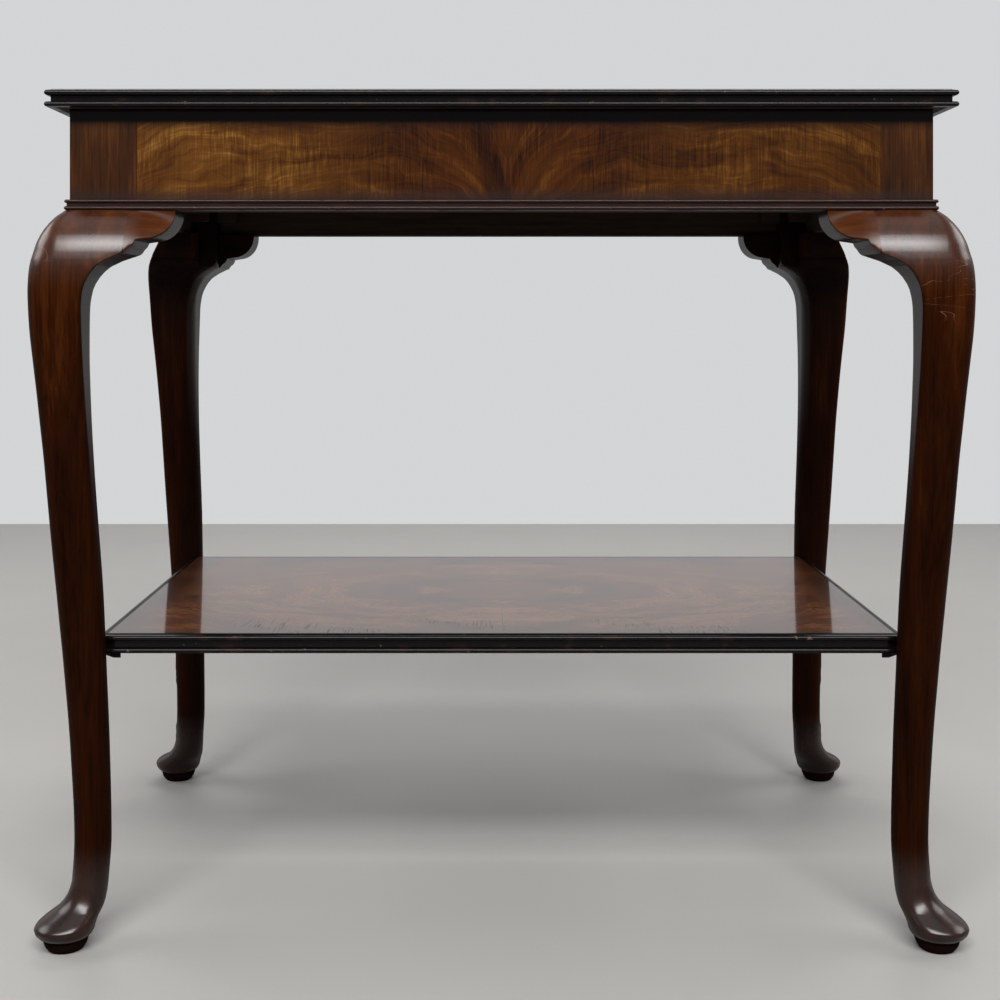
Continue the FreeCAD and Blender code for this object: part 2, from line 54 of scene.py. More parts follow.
class Signal:     # a socket of a node tree, so that sums of masks and noises read as Python
    def __init__(self, tree, socket=None):
        self.tree = tree
        self.socket = socket

    # any node: its type, its settings, then the values or signals of its sockets
    def node(self, kind, settings=None, inputs=None, output=0):
        made = self.tree.nodes.new(kind)
        for name, value in (settings or {}).items():
            if name == "stops":
                ramp = made.color_ramp.elements
                while len(ramp) < len(value):
                    ramp.new(1)
                for element, (position, colour) in zip(ramp, value):
                    element.position = position
                    element.color = (*colour, 1)
            else:
                setattr(made, name, value)
        for name, value in (inputs or {}).items():
            if isinstance(value, Signal):
                self.tree.links.new(value.socket, made.inputs[name])
            else:
                made.inputs[name].default_value = value
        return Signal(self.tree, made.outputs[output])

    def sum(self, operation, first, second=0.0):
        return self.node("ShaderNodeMath", {"operation": operation}, {0: first, 1: second})

    def __add__(self, other):
        return self.sum("ADD", self, other)

    def __sub__(self, other):
        return self.sum("SUBTRACT", self, other)

    def __rsub__(self, other):
        return self.sum("SUBTRACT", other, self)

    def __mul__(self, other):
        return self.sum("MULTIPLY", self, other)

    def __pow__(self, other):
        return self.sum("POWER", self, other)

    def __abs__(self):
        return self.sum("ABSOLUTE", self)

    __radd__ = __add__
    __rmul__ = __mul__

    def exp(self):
        return self.sum("EXPONENT", self)

    def atLeast(self, other):
        return self.sum("MAXIMUM", self, other)

    def split(self):     # the three parts of a vector
        parts = self.node("ShaderNodeSeparateXYZ", None, {0: self})
        return [Signal(self.tree, out) for out in parts.socket.node.outputs]

    def vector(self, x, y, z=0.0):
        return self.node("ShaderNodeCombineXYZ", None, {0: x, 1: y, 2: z})

    def rise(self, low, high):     # 0 below low, 1 above high, smooth between
        return self.node("ShaderNodeMapRange", {"interpolation_type": "SMOOTHSTEP"},
                         {0: self, 1: low, 2: high, 3: 0.0, 4: 1.0})

    def noise(self, scale=1.0, detail=2.0, roughness=0.5, distortion=0.0):
        return self.node("ShaderNodeTexNoise", None, {
            "Vector": self, "Scale": scale, "Detail": detail, "Roughness": roughness,
            "Distortion": distortion})

    def ramp(self, stops):
        return self.node("ShaderNodeValToRGB", {"stops": stops}, {0: self})

    def over(self, colour, factor, style="MIX"):     # another colour laid over this one
        return self.node("ShaderNodeMix", {"data_type": "RGBA", "blend_type": style},
                         {0: factor, 6: self, 7: (*colour, 1)}, 2)

    def turnedAway(self, low, high):     # 0 on faces that are looked at squarely, 1 at a slant
        return self.node("ShaderNodeLayerWeight", None, {"Blend": 0.5}, "Facing").rise(low, high)

    def seen(self):     # 1 where something is looked at, directly, in a polish or through glass
        rays = [self.node("ShaderNodeLightPath", output=f"Is {kind} Ray")
                for kind in ("Camera", "Glossy", "Transmission")]
        return rays[0].atLeast(rays[1]).atLeast(rays[2])


# A finish whose colour, roughness and relief vary over the surface. A recipe turns the place
# into these three, and adds the weight of the polish where that varies too.
def makeFinish(name, recipe, shine, coat=0.0, coatRoughness=0.1, relief=0.25, distance=0.1 * mm):
    material = bpy.data.materials.new(name)
    material.use_nodes = True
    tree = material.node_tree
    shader = tree.nodes["Principled BSDF"]
    place = Signal(tree).node("ShaderNodeTexCoord", output="Object")
    colour, roughness, height, *polish = recipe(place)
    tree.links.new(colour.socket, shader.inputs["Base Color"])
    tree.links.new(roughness.socket, shader.inputs["Roughness"])
    shader.inputs["Specular IOR Level"].default_value = shine
    shader.inputs["Coat Weight"].default_value = coat
    for weight in polish:
        tree.links.new(weight.socket, shader.inputs["Coat Weight"])
    shader.inputs["Coat Roughness"].default_value = coatRoughness
    bump = height.node("ShaderNodeBump", None,
                       {"Strength": relief, "Distance": distance, "Height": height}, "Normal")
    tree.links.new(bump.socket, shader.inputs["Normal"])
    return material


veneer = {
    "shades": [(0.22, (0.0220, 0.0068, 0.0020)), (0.42, (0.0570, 0.0185, 0.0030)),
               (0.60, (0.0890, 0.0325, 0.0050)), (0.86, (0.1900, 0.0880, 0.0180))],
    "poreColour": (0.014, 0.005, 0.002),
    "cloudsPerMetre": 9.0,
    "streaksPerMetre": 85.0,
    "grainPerMetre": 620.0,
    "ripplePerMetre": 560.0,
    "poresPerMetre": 1900.0,
    "cloudShare": 0.90,
    "streakShare": 0.95,
    "grainShare": 0.30,
    "rippleShare": 1.05,
    "polish": 0.2,
    "shine": 0.03,
}


# Figured veneer on two coordinates in metres: grain lines keep one value of across, and
# along runs with them. Streaks and fine lines follow the grain, a close ripple crosses it
# more or less strongly, and slow clouds shade the whole. The lightness is a half plus each
# noise's distance from its middle, times its share.
def figure(along, across, seed):
    clouds, streaks = veneer["cloudsPerMetre"], veneer["streaksPerMetre"]
    cloud = along.vector(across * clouds * 2.4, along * clouds, seed).noise(1.0, 3.0, 0.55, 0.3)
    streak = along.vector(across * streaks, along * streaks * 0.16, seed + 4)
    streak = streak.noise(1.0, 4.0, 0.6, 0.9)
    lines = along.vector(across * veneer["grainPerMetre"], along * 12.0, seed + 8)
    lines = lines.noise(1.0, 3.0, 0.6, 0.4)
    where = along.vector(across * 26.0, along * 16.0, seed + 12).noise(1.0, 1.0, 0.5)
    ripple = along.vector(across * 34.0, along * veneer["ripplePerMetre"], seed + 16)
    ripple = ripple.noise(1.0, 3.0, 0.6, 0.8)
    pores = along.vector(across * veneer["poresPerMetre"], along * 130.0, seed + 20)
    pores = pores.noise(1.0, 1.0, 0.5).rise(0.60, 0.72)
    light = (0.5 + veneer["cloudShare"] * (cloud - 0.5) + veneer["streakShare"] * (streak - 0.5)
             + veneer["grainShare"] * (lines - 0.5)
             + veneer["rippleShare"] * (0.35 + 0.65 * where.rise(0.34, 0.62)) * (ripple - 0.5))
    colour = light.ramp(veneer["shades"]).over(veneer["poreColour"], pores * 0.35)
    return colour, lines, pores


# painted shadow under the top's overhang, and dirt above the bead
shadowAndDust = {
    "dustAndShade": (0.0200, 0.0125, 0.0115),
    "black": (0.0008, 0.0006, 0.0006),
    "penumbra": (674.0 * mm, 683.5 * mm),
    "shadowBand": (682.5 * mm, 686.5 * mm),
    "foot": (621.5 * mm, 632.5 * mm),
}


# Painted shadow of the top's overhang on the frieze: a soft painted shade and then a near-black
# painted shadow right under it; and real dirt that darkens the frieze above the bead
def shadowedAndDusty(colour, z):
    # painted shade under the top from the first two masks; the third marks dirt at the frieze's
    # foot
    penumbra, shadowBand, foot = z.rise(*shadowAndDust["penumbra"]), z.rise(*shadowAndDust["shadowBand"]), z.rise(*shadowAndDust["foot"])
    colour = colour.over(shadowAndDust["dustAndShade"], penumbra * 0.20).over(shadowAndDust["dustAndShade"], (1.0 - foot) * 0.62)
    return colour.over(shadowAndDust["black"], shadowBand * 0.93)


frontLeaves = {
    "joint": 5.4 * mm,
    "jointColour": (0.012, 0.005, 0.003),
    "fanHeight": 85 * mm,
    "fanPerMetre": 42.0,
    "turnedFrom": 200 * mm,
    "drift": 66 * mm,
    "redTint": (0.86, 0.70, 0.66),
    # darkening that leaves a painted sheen on the far left
    "sheenShadeTint": (0.60, 0.53, 0.42),
    "wedgeTint": (0.46, 0.42, 0.50),
    "wedgeWidth": 18 * mm,
}


# The front's leaves, each the other's mirror image about the joint: beside it the lines fan
# steeply upwards, as in wood cut below a fork, further out they run level in wavy streaks,
# and by the end strips they stand up again. A grain line is at a height less the fan, which
# nears its full height as an exponential of the distance out, plus the square of the distance
# past where it turns. A dark wedge leans against the joint on the left.
def frontLeafRecipe(place):
    x, y, z = place.split()
    leaves = frontLeaves
    out = abs(x - leaves["joint"])
    fan = leaves["fanHeight"] * (1.0 - (out * -leaves["fanPerMetre"]).exp())
    turned = (out - leaves["turnedFrom"]).atLeast(0.0)
    drift = place.vector(x * 7.0, z * 16.0).noise(1.0, 3.0, 0.55) - 0.5
    across = z - fan + turned * turned * 2.5 + drift * leaves["drift"]
    colour, lines, pores = figure(out, across, 2.0)
    red = 1.0 - out.rise(0.04, 0.16)
    colour = colour.over(leaves["redTint"], red * 0.8, "MULTIPLY")
    # painted sheen: the leaves darken from near the left end rightwards, so the far left reads
    # lighter
    colour = colour.over(leaves["sheenShadeTint"], x.rise(-0.28, -0.06), "MULTIPLY")
    left = leaves["joint"] - x
    lean = (z - 0.622) * 16.0
    near = (left - lean * 0.012).rise(-0.002, 0.003)
    far = (left - lean * 0.014 - leaves["wedgeWidth"]).rise(-0.004, 0.003)
    wedge = near * (1.0 - far) * (0.35 + 1.1 * lines)
    colour = colour.over(leaves["wedgeTint"], wedge, "MULTIPLY")
    colour = colour.over(leaves["jointColour"], (1.0 - out.rise(0.0002, 0.0007)) * 0.6)
    return shadowedAndDusty(colour, z), 0.30 + 0.10 * lines, lines * 0.6 - pores


# The side and back sheets: level figure, its height bent by slow waves
def sheetRecipe(place):
    x, y, z = place.split()
    run = x + y
    wave = place.vector(run * 5.0, z * 9.0).noise(1.0, 2.0, 0.5) - 0.5
    colour, lines, pores = figure(run, z + wave * 0.06, 23.0)
    return shadowedAndDusty(colour, z), 0.30 + 0.10 * lines, lines * 0.6 - pores


endStrip = {
    "shades": [(0.32, (0.009, 0.0034, 0.0014)), (0.50, (0.032, 0.0102, 0.0028)),
               (0.66, (0.076, 0.0270, 0.0062))],
    "bandsPerMetre": 55.0,
    "grainPerMetre": 560.0,
}


# End strips of the frieze: straight upright grain, darker and redder
def endStripRecipe(place):
    x, y, z = place.split()
    run = x + y
    broad = place.vector(run * endStrip["bandsPerMetre"], z * 9.0).noise(1.0, 4.0, 0.6)
    lines = place.vector(run * endStrip["grainPerMetre"], z * 14.0, 3.0).noise(1.0, 4.0, 0.62)
    colour = (0.55 * broad + 0.45 * lines).ramp(endStrip["shades"])
    return shadowedAndDusty(colour, z), 0.32 + 0.1 * lines, lines


quartered = {
    "shades": [(0.26, (0.0080, 0.0022, 0.0010)), (0.43, (0.0420, 0.0110, 0.0030)),
               (0.60, (0.1020, 0.0330, 0.0090)), (0.78, (0.1650, 0.0640, 0.0210))],
    "joint": 1.5 * mm,
    "jointColour": (0.008, 0.004, 0.003),
    "halfWidth": 340 * mm,
    "halfDepth": 188 * mm,
    "border": 28 * mm,
    "borderTint": (0.35, 0.33, 0.36),
    "crazedFrom": 115 * mm,
    "crazingColour": (0.004, 0.002, 0.002),
    "polish": 0.85,
}


# Quartered tops: four leaves mirrored about both middle lines, dark red-brown. The streaks
# follow ovals about the middle, a root of weighted squares bent by slow waves, and fade
# towards the dark outer rim; the polish is crazed in fine lines at the front.
def quarteredRecipe(place):
    x, y, z = place.split()
    out, deep = abs(x - quartered["joint"]), abs(y)
    drift = place.vector(out * 8.0, deep * 13.0, z).noise(1.0, 4.0, 0.6, 0.5) - 0.5
    ring = (out * out * 0.22 + deep * deep * 1.4 + 0.0016) ** 0.5 + drift * 0.10
    along = out + deep * 0.6
    cloud = place.vector(ring * 14.0, along * 6.0, 41.0).noise(1.0, 3.0, 0.6, 0.8)
    streak = place.vector(ring * 58.0, along * 9.0, 43.0).noise(1.0, 4.0, 0.55, 0.3)
    lines = place.vector(ring * 620.0, along * 26.0, 45.0).noise(1.0, 3.0, 0.6, 0.5)
    light = 0.51 + 0.60 * (cloud - 0.5) + 0.70 * (streak - 0.5) + 0.60 * (lines - 0.5)
    colour = light.ramp(quartered["shades"])
    rim = (out - (quartered["halfWidth"] - quartered["border"])).atLeast(
        deep - (quartered["halfDepth"] - quartered["border"]))
    colour = colour.over(quartered["borderTint"], rim.rise(-0.012, 0.014) * 0.8, "MULTIPLY")
    joint = (1.0 - out.rise(0.0001, 0.0006)).atLeast(1.0 - deep.rise(0.0001, 0.0006))
    colour = colour.over(quartered["jointColour"], joint * 0.8)
    front = (0.0 - y).rise(quartered["crazedFrom"], 0.15)
    patch = place.noise(9.0, 1.0, 0.5).rise(0.50, 0.60) * front
    crazing = place.vector(x * 1100.0, y * 36.0, z).noise(1.0, 1.0, 0.5).rise(0.60, 0.66) * patch
    colour = colour.over(quartered["crazingColour"], crazing * 0.9)
    relief = lines * 0.3 - joint - crazing
    return colour, 0.34 + 0.10 * lines, relief, quartered["polish"] - 0.45 * crazing


shaped = {
    "shades": [(0.28, (0.0060, 0.0015, 0.0004)), (0.48, (0.0190, 0.0042, 0.0008)),
               (0.62, (0.0460, 0.0115, 0.0024)), (0.80, (0.1100, 0.0360, 0.0080)),
               (0.95, (0.1900, 0.0740, 0.0190))],
    "poreColour": (0.006, 0.003, 0.002),
    # the sawn faces' own dark, also laid on the inner faces as painted shade
    "sawnAndShadeColour": (0.0048, 0.0034, 0.0030),
    "scratchColour": (0.28, 0.16, 0.10),
    "wornColour": (0.0080, 0.0045, 0.0032),
    "bandsPerMetre": 60.0,
    "grainPerMetre": 480.0,
    "poresPerMetre": 1500.0,
    "discHeight": (9.5 * mm, 12.5 * mm),
    "kneePolish": 0.70,
    "footPolish": 0.70,
    "innerPolish": 0.34,
    "earPale": 0.05,     # how much lighter and more orange the ears are
    "earDullFrom": (42 * mm, 66 * mm),
}


# Solid walnut of the legs and ears, its grain along the last of three coordinates: darker down
# the leg, polished bright on the knee and the foot, and left dull on the sawn and inner faces,
# which the mesh marks; their dark is partly the sawn wood's own and partly painted shade,
# deepest towards the top under the frieze. Pale is how much lighter and more orange a piece is,
# and shine how much of the polish is left on it.
def shapedWalnut(place, first, second, grain, pale=0.0, shine=1.0):
    x, y, z = place.split()
    warp = (place.noise(6.0, 2.0, 0.5) - 0.5) * 0.05
    bands, fine, tiny = shaped["bandsPerMetre"], shaped["grainPerMetre"], shaped["poresPerMetre"]
    broad = place.vector((first + warp) * bands, (second + warp) * bands, grain * 3.2)
    broad = broad.noise(1.0, 4.0, 0.58, 0.3)
    lines = place.vector(first * fine, second * fine, grain * 11.0).noise(1.0, 3.0, 0.6, 0.2)
    pores = place.vector(first * tiny, second * tiny, grain * 85.0)
    pores = pores.noise(1.0, 1.0, 0.5).rise(0.62, 0.72)
    top = z.rise(0.570, 0.598)
    light = (pale - 0.03 + 0.50 * broad + (0.34 - 0.24 * top) * lines + 0.12 * top
             + 0.17 * z.rise(0.36, 0.60))
    colour = light.ramp(shaped["shades"]).over(shaped["poreColour"], pores * 0.25)

    marks = place.node("ShaderNodeAttribute", {"attribute_name": "sawn"}, output="Fac")
    # painted shade: marked faces darken, most towards the top under the frieze
    sawnAndShaded = marks.rise(0.0, 0.5) * (0.30 + 0.70 * z.rise(0.44, 0.57))
    bare = marks.rise(0.5, 0.95) * z.rise(0.36, 0.50)
    saw = place.vector(x * 260.0, y * 260.0, z * 900.0).noise(1.0, 3.0, 0.6)
    colour = colour.over(shaped["sawnAndShadeColour"], sawnAndShaded * 0.88)

    # scratches are broken pieces of the line where a stretched noise passes its middle
    knee = z.rise(0.515, 0.530) * (1.0 - z.rise(0.590, 0.598))
    where = place.noise(11.0, 1.0, 0.5).rise(0.53, 0.58) * knee
    broken = place.noise(160.0, 1.0, 0.5).rise(0.40, 0.52)
    wander = place.vector(x * 15.0, y * 15.0, z * 55.0).noise(1.0, 1.0, 0.5, 0.9)
    thin = 1.0 - abs(wander - 0.5).rise(0.0010, 0.0055)
    scratch = thin * where * broken * (1.0 - sawnAndShaded)
    colour = colour.over(shaped["scratchColour"], scratch * 0.35)

    worn = 1.0 - z.rise(*shaped["discHeight"])
    colour = colour.over(shaped["wornColour"], worn * 0.85)
    rough = 0.36 + 0.10 * broad + 0.35 * sawnAndShaded + 0.30 * worn
    polish = (0.02 + shaped["kneePolish"] * z.rise(0.540, 0.580)
              + shaped["footPolish"] * (1.0 - z.rise(0.045, 0.085)))
    kept = (1.0 - 0.95 * sawnAndShaded) * (1.0 - 0.85 * place.turnedAway(0.62, 0.95)) * (1.0 - worn)
    polish = polish * kept * shine + shaped["innerPolish"] * bare
    return colour, rough, lines * 0.5 - pores + saw * sawnAndShaded - scratch, polish


def legRecipe(place):
    x, y, z = place.split()
    return shapedWalnut(place, x, y, z)


# The grain of an ear runs across the leg's, and its polish fades towards the tip
def earAcrossRecipe(place):
    x, y, z = place.split()
    tip = (table["friezeWidth"] / 2 - abs(x)).rise(*shaped["earDullFrom"])
    return shapedWalnut(place, y, z, x, shaped["earPale"], 1.0 - 0.92 * tip)


def earAlongRecipe(place):
    x, y, z = place.split()
    tip = (table["friezeDepth"] / 2 - abs(y)).rise(*shaped["earDullFrom"])
    return shapedWalnut(place, x, z, y, shaped["earPale"], 1.0 - 0.92 * tip)


ebonised = {
    "shades": [(0.3, (0.0016, 0.0011, 0.0012)), (0.7, (0.0044, 0.0030, 0.0032))],
    "brown": (0.0260, 0.0105, 0.0078),
    "chip": (0.160, 0.095, 0.060),
    "edgePolish": 0.24,
    "beadBrown": 0.6,
    "blockPolish": 0.03,
    "shine": 0.02,
}


# Ebonised edges: near black, rubbed to brown along the beads, with small pale chips. Brown is
# how much of the stain has worn off.
def ebonisedRecipe(place, brown, polish):
    rub = (place.noise(55.0, 4.0, 0.6) + brown * 0.1).rise(0.56, 0.70)
    chips = place.noise(210.0, 2.0, 0.5).rise(0.72, 0.76)
    grain = place.noise(900.0, 2.0, 0.5)
    worn = brown + (0.5 - brown * 0.5) * rub
    colour = grain.ramp(ebonised["shades"]).over(ebonised["brown"], worn)
    colour = colour.over(ebonised["chip"], chips * 0.7)
    polish = polish * (1.0 - 0.9 * place.turnedAway(0.60, 0.92))
    return colour, 0.30 + 0.2 * rub, grain * 0.3 - chips, polish


def edgeRecipe(place):
    return ebonisedRecipe(place, 0.0, ebonised["edgePolish"])


def beadRecipe(place):
    return ebonisedRecipe(place, ebonised["beadBrown"], ebonised["edgePolish"])


def blockRecipe(place):
    return ebonisedRecipe(place, 0.0, ebonised["blockPolish"])


carcase = {
    "shades": [(0.3, (0.012, 0.007, 0.0045)), (0.7, (0.034, 0.020, 0.0120))],
    "grainPerMetre": 260.0,
    "sawPerMetre": 420.0,
}


# Plain sawn wood of the frame and the boards, its grain along the width
def carcaseRecipe(place):
    x, y, z = place.split()
    fine = carcase["grainPerMetre"]
    lines = place.vector(x * 14.0, y * fine, z * fine).noise(1.0, 4.0, 0.6)
    saw = place.vector(x * carcase["sawPerMetre"], y * 12.0, z * 12.0).noise(1.0, 1.0, 0.5)
    return lines.ramp(carcase["shades"]), 0.75 + 0.15 * lines, lines + saw * 0.5


frontLeafWalnut, sheetWalnut, endStripWalnut = (
    makeFinish(name, recipe, veneer["shine"], veneer["polish"])
    for name, recipe in (("front_leaf_walnut", frontLeafRecipe), ("side_leaf_walnut", sheetRecipe),
                         ("end_strip_walnut", endStripRecipe)))
quarteredWalnut = makeFinish("quartered_walnut", quarteredRecipe, 0.05, coatRoughness=0.07,
                             relief=0.10)
legWalnut, earWalnutAcross, earWalnutAlong = (
    makeFinish(name, recipe, 0.01, coatRoughness=0.25)
    for name, recipe in (("leg_walnut", legRecipe), ("ear_walnut_across", earAcrossRecipe),
                         ("ear_walnut_along", earAlongRecipe)))
blackEdge, brownBead, dullBlack = (
    makeFinish(name, recipe, ebonised["shine"], coatRoughness=rough, relief=relief)
    for name, recipe, rough, relief in (("black_edge", edgeRecipe, 0.11, 0.08),
                                        ("brown_bead", beadRecipe, 0.13, 0.08),
                                        ("dull_black", blockRecipe, 0.30, 0.2)))
carcaseWood = makeFinish("carcase_wood", carcaseRecipe, 0.15, relief=0.5, distance=0.2 * mm)
print("woods made")

# the first entry whose start fits a node's name dresses it
finishes = (
    ("frieze_leaf", frontLeafWalnut), ("frieze_sheet", sheetWalnut),
    ("frieze_end", endStripWalnut), ("top_leaf", quarteredWalnut),
    ("shelf_leaf", quarteredWalnut), ("leg_", legWalnut), ("ear_", legWalnut),
    ("top_edge", blackEdge), ("shelf_edge", blackEdge), ("frieze_bead", brownBead),
    ("shelf_corner", dullBlack), ("", carcaseWood),
)
for name, node in nodes.items():
    node.data.materials.clear()
    node.data.materials.append(next(wood for start, wood in finishes if name.startswith(start)))
print("nodes dressed")


# Six times the enclosed volume of closed faces, by summing each triangle's tetrahedron to
# the origin: below zero, the faces point inwards
def sixVolumes(points, faces):
    total = 0.0
    for face in (faces[:, [0, 1, 2]], faces[:, [0, 2, 3]]):
        a, b, c = (points[face[:, k]] for k in range(3))
        total += np.einsum("ij,ij->", a, np.cross(b, c))
    return total


# A grid of rings, each closed on itself, as a closed shell: quads between neighbouring rings
# and a flat end on the first and the last ring
def ringFaces(ringCount, pointCount):
    ring = np.arange(ringCount - 1)[:, None] * pointCount
    here = np.arange(pointCount)[None, :]
    ahead = (here + 1) % pointCount
    quads = np.stack((ring + here, ring + ahead, ring + pointCount + ahead,
                      ring + pointCount + here), -1)
    ends = (np.arange(pointCount)[::-1], (ringCount - 1) * pointCount + np.arange(pointCount))
    return quads.reshape(-1, 4), ends


# A closed piece from a grid of rings that stands for one node. Edges sharper than 0.6 radians
# stay crisp, and sawn marks the points of unpolished faces: sawn ones, and the legs' inner faces,
# which get painted shade.
def addPiece(node, rings, material, sawn=None):
    points = rings.reshape(-1, 3)
    quads, ends = ringFaces(*rings.shape[:2])
    lids = [np.stack((end[0] + 0 * end[1:-1], end[1:-1], end[2:], end[2:]), -1) for end in ends]
    outward = sixVolumes(points - points.mean(0), np.concatenate([quads] + lids)) > 0
    faces = quads.tolist() + [end.tolist() for end in ends]
    if not outward:
        faces = [face[::-1] for face in faces]
    name = f"smooth_{node}"
    mesh = bpy.data.meshes.new(name)
    mesh.from_pydata(points.tolist(), [], faces)
    mesh.shade_smooth()
    mesh.set_sharp_from_angle(angle=0.6)
    if sawn is not None:
        values = np.broadcast_to(sawn, rings.shape[:2]).astype(np.float32).reshape(-1)
        mesh.attributes.new("sawn", "FLOAT", "POINT").data.foreach_set("value", values)
    mesh.materials.append(material)
    piece = bpy.data.objects.new(name, mesh)
    bpy.context.scene.collection.objects.link(piece)
    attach(piece, "root")
    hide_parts(node)


# A smooth curve through the rows of a table, at any heights: cubic between neighbouring rows,
# each row's slope the harmonic mean of the slopes on its two sides, or level where they turn
def through(heights, rows, at):
    gap = np.diff(heights)[:, None]
    slope = np.diff(rows, axis=0) / gap
    product = slope[:-1] * slope[1:]
    mean = np.where(product > 0, 2 * product / np.where(product > 0, slope[:-1] + slope[1:], 1), 0)
    slopes = np.concatenate((slope[:1], mean, slope[-1:]))
    k = np.clip(np.searchsorted(heights, at, side="right") - 1, 0, len(heights) - 2)
    t = ((at - heights[k]) / gap[k, 0])[:, None]
    run = gap[k]
    return ((2 * t ** 3 - 3 * t ** 2 + 1) * rows[k] + (t ** 3 - 2 * t ** 2 + t) * run * slopes[k]
            + (3 * t ** 2 - 2 * t ** 3) * rows[k + 1] + (t ** 3 - t ** 2) * run * slopes[k + 1])


leg = {
    # height; outer face beyond the frieze's corner, inner face inside it; then the rounding of
    # the outer, the side and the inner corners, as shares of half the thickness
    "stations": np.array([
        (0.0, 15.6, 11.1, 0.97, 0.97, 0.97), (0.8, 16.9, 12.3, 0.97, 0.97, 0.97),
        (3.4, 18.9, 14.2, 0.97, 0.97, 0.97), (7.2, 20.3, 15.6, 0.97, 0.97, 0.97),
        (8.9, 20.5, 15.9, 0.97, 0.97, 0.97), (10.0, 20.1, 15.8, 0.96, 0.97, 0.97),
        (11.0, 22.0, 17.4, 0.95, 0.97, 0.97), (12.8, 24.4, 19.3, 0.94, 0.97, 0.97),
        (15.4, 26.3, 20.6, 0.92, 0.97, 0.97), (18.4, 27.1, 21.2, 0.90, 0.97, 0.97),
        (21.2, 25.8, 22.0, 0.89, 0.97, 0.97), (24.0, 22.3, 23.0, 0.88, 0.97, 0.97),
        (31.0, 11.4, 25.8, 0.90, 0.97, 0.97), (40.0, 4.4, 27.4, 0.94, 0.97, 0.97),
        (52.0, 1.4, 28.3, 0.97, 0.97, 0.97), (85.0, 0.0, 30.1, 0.97, 0.97, 0.97),
        (160.0, 2.7, 29.1, 0.97, 0.97, 0.97), (225.0, 6.9, 27.3, 0.97, 0.96, 0.97),
        (290.0, 12.0, 25.4, 0.97, 0.90, 0.97), (330.0, 15.1, 23.3, 0.96, 0.82, 0.96),
        (370.0, 17.9, 20.9, 0.95, 0.72, 0.95), (405.0, 20.3, 19.1, 0.94, 0.62, 0.94),
        (437.0, 23.0, 17.8, 0.93, 0.52, 0.92), (462.0, 25.2, 17.1, 0.93, 0.43, 0.90),
        (487.0, 27.6, 16.7, 0.93, 0.34, 0.89), (510.0, 29.7, 16.7, 0.92, 0.26, 0.85),
        (530.0, 30.8, 16.9, 0.92, 0.19, 0.80), (545.0, 31.2, 18.8, 0.90, 0.14, 0.75),
        (556.0, 31.0, 23.5, 0.86, 0.10, 0.68), (563.8, 30.4, 29.6, 0.80, 0.07, 0.60),
        (569.5, 29.5, 38.0, 0.72, 0.05, 0.52), (576.5, 27.9, 52.0, 0.62, 0.04, 0.42),
        (582.5, 26.0, 57.0, 0.55, 0.04, 0.40), (589.0, 23.1, 60.0, 0.48, 0.04, 0.39),
        (595.0, 19.7, 62.0, 0.42, 0.04, 0.38), (600.5, 15.7, 63.0, 0.37, 0.04, 0.37),
        (606.0, 10.8, 63.5, 0.32, 0.04, 0.36), (611.0, 4.8, 64.0, 0.27, 0.04, 0.36),
    ]) * [mm, mm, mm, 1, 1, 1],
    "levelGap": 5 * mm,
    "post": 50 * mm,     # the square post's far faces, in from the frieze's corner
    "veneer": 1 * mm,
    "notch": 18.1 * mm,
    "notchPlay": 0.1 * mm,
    "sinkStart": 18 * mm,
    "sinkEnd": 88 * mm,
    "sink": 14.5 * mm,
    "sinkSoft": 7.0 * mm,
    "flat": 0.9 * mm,
    "arcPoints": 13,
    "flatShares": np.array([0.2, 0.5, 0.8]),
}


# The knee's outer face, which the ears carry on
def kneeFace(z):
    return through(leg["stations"][:, 0], leg["stations"][:, 1:2], z)[:, 0]


# How far the knee's face stands out at a distance along from the frieze's corner. It sinks
# back by the sink times the covered share to the power 1.5, and runs out softly on a flat:
# half of what is over the flat plus the root of its square and the softness's square.
def sunk(out, along):
    share = np.clip((along - leg["sinkStart"]) / (leg["sinkEnd"] - leg["sinkStart"]), 0, 1)
    over = out - leg["sink"] * share ** 1.5 - leg["flat"]
    return leg["flat"] + (over + np.sqrt(over ** 2 + (leg["sinkSoft"] * share) ** 2)) / 2


# Outlines of the leg at each level, as rounded squares: four quarter arcs joined by straight
# runs. Rows hold the outer and inner faces and the three roundings.
def legOutlines(rows):
    out, inside = rows[:, 0], rows[:, 1]
    half = (out + inside) / 2
    square = np.clip((inside - leg["post"]) / (5 * mm), 0, 1)     # flat where the ears join
    inside = np.minimum(inside, leg["post"])
    outer, side = rows[:, 2] * half, rows[:, 3] * half * (1 - 0.9 * square)
    inner = rows[:, 4] * half * (1 - square)
    low, high = -out, inside
    centres = np.stack((low + outer, low + outer, high - side, low + side,
                        high - inner, high - inner, low + side, high - side), -1)
    centres = centres.reshape(-1, 4, 2)
    radii = np.stack((outer, side, inner, side), 1)
    angles = np.array((180, 270, 0, 90))[:, None] + np.linspace(0, 90, leg["arcPoints"])
    circle = np.stack((np.cos(angles * np.pi / 180), np.sin(angles * np.pi / 180)), -1)
    arcs = centres[:, :, None] + radii[:, :, None, None] * circle[None]
    start, finish = arcs[:, :, -1:], np.roll(arcs, -1, 1)[:, :, :1]
    flats = start + (finish - start) * leg["flatShares"][None, None, :, None]
    return np.concatenate((arcs, flats), 2).reshape(len(rows), -1, 2)


